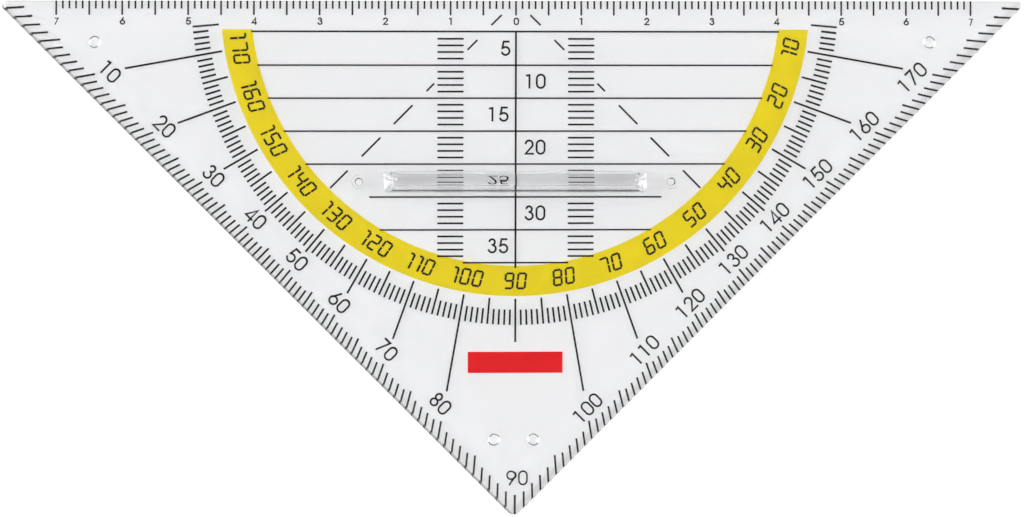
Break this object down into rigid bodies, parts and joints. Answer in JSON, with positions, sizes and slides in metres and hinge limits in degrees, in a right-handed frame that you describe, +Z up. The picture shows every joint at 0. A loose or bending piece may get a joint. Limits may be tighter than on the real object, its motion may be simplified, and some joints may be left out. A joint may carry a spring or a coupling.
{
  "type": "drafting triangle",
  "caption": "Clear plastic set square with a printed protractor ring, a grid of parallel lines and a plug-in grip bar; it lies flat on low spacer nubs.",
  "frame": {"origin": "the zero mark: the middle of the drawing edge, at the level of the printed underside", "axes": "+X along the drawing edge, +Y out of the drawing edge (the right-angled corner lies at -Y), +Z up through the grip"},
  "size_m": [0.1564, 0.0787, 0.0095],
  "materials": {
    "clear_plastic": "clear polished moulding",
    "yellow_ink": "flat screen print seen through the plate",
    "black_ink": "flat screen print seen through the plate",
    "red_ink": "flat screen print seen through the plate"
  },
  "bodies": {
    "plate": {"plate": "clear_plastic", "protractor_band": "yellow_ink", "grid_print": "black_ink", "label_panel": "red_ink"},
    "grip": {"grip": "clear_plastic"}
  },
  "joints": [
    {"name": "grip_pull", "type": "slide", "parent": "plate", "child": "grip", "axis": [0, 0, 1], "range_m": [0, 0.004]}
  ]
}
